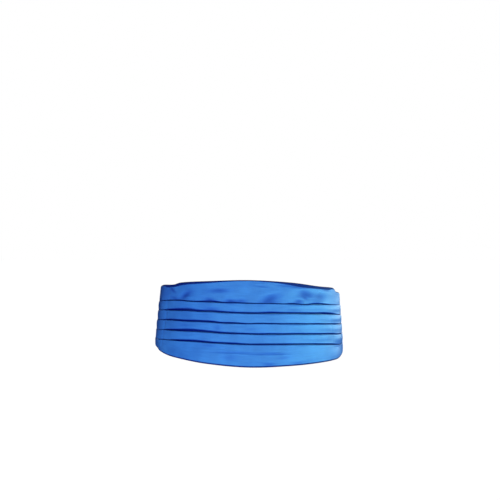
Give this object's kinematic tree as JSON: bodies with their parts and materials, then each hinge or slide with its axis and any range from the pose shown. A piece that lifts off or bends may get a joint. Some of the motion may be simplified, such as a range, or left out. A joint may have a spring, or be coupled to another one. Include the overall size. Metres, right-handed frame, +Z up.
{
  "type": "cummerbund",
  "caption": "Pleated satin waist sash worn with a dinner shirt: wide curved front with upward folds, plain back straps and a flat clasp.",
  "frame": {"origin": "on the upright axis through the middle of the waist hollow, level with the middle fold at the centre front", "axes": "+Z up the wearer's body, -Y out of the wearer's front, +X to the wearer's left"},
  "size_m": [0.2978, 0.2152, 0.1317],
  "materials": {
    "satin": "polyester satin",
    "strap": "woven ribbon",
    "clasp": "nickel plated"
  },
  "bodies": {
    "root": {"panel": "satin", "pleat_1": "satin", "pleat_2": "satin", "pleat_3": "satin", "pleat_4": "satin", "lower_band": "satin", "strap_left": "strap", "strap_right": "strap", "clasp": "clasp"}
  },
  "joints": []
}
